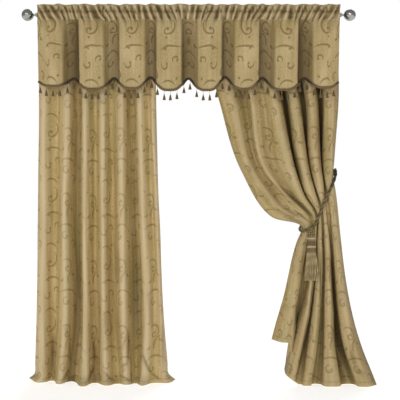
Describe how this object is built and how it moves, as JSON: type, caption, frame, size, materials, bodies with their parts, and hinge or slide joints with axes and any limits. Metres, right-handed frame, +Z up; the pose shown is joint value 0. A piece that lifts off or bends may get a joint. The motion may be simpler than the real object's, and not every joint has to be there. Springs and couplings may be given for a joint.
{
  "type": "curtain set with valance and rod",
  "caption": "Jacquard blackout curtain set on one rod: scalloped tasselled valance, a straight panel and a panel tied back with a tasselled rope.",
  "frame": {"origin": "the middle of the rod's axis", "axes": "X along the rod, tied-back panel at +X; -Y faces the room; +Z up"},
  "size_m": [1.982, 0.2588, 2.127],
  "materials": {
    "jacquard": "satin woven scroll on a matt ground",
    "trimming": "dull twisted yarn",
    "tie_yarn": "twisted yarn with a soft sheen",
    "pewter": "satin pewter"
  },
  "bodies": {
    "root": {"rod": "pewter", "finial_left": "pewter", "finial_right": "pewter", "valance": "jacquard", "valance_fringe": "trimming", "panel_left": "jacquard", "panel_right": "jacquard", "tieback_rope": "tie_yarn", "tieback_tassel": "tie_yarn"}
  },
  "joints": []
}
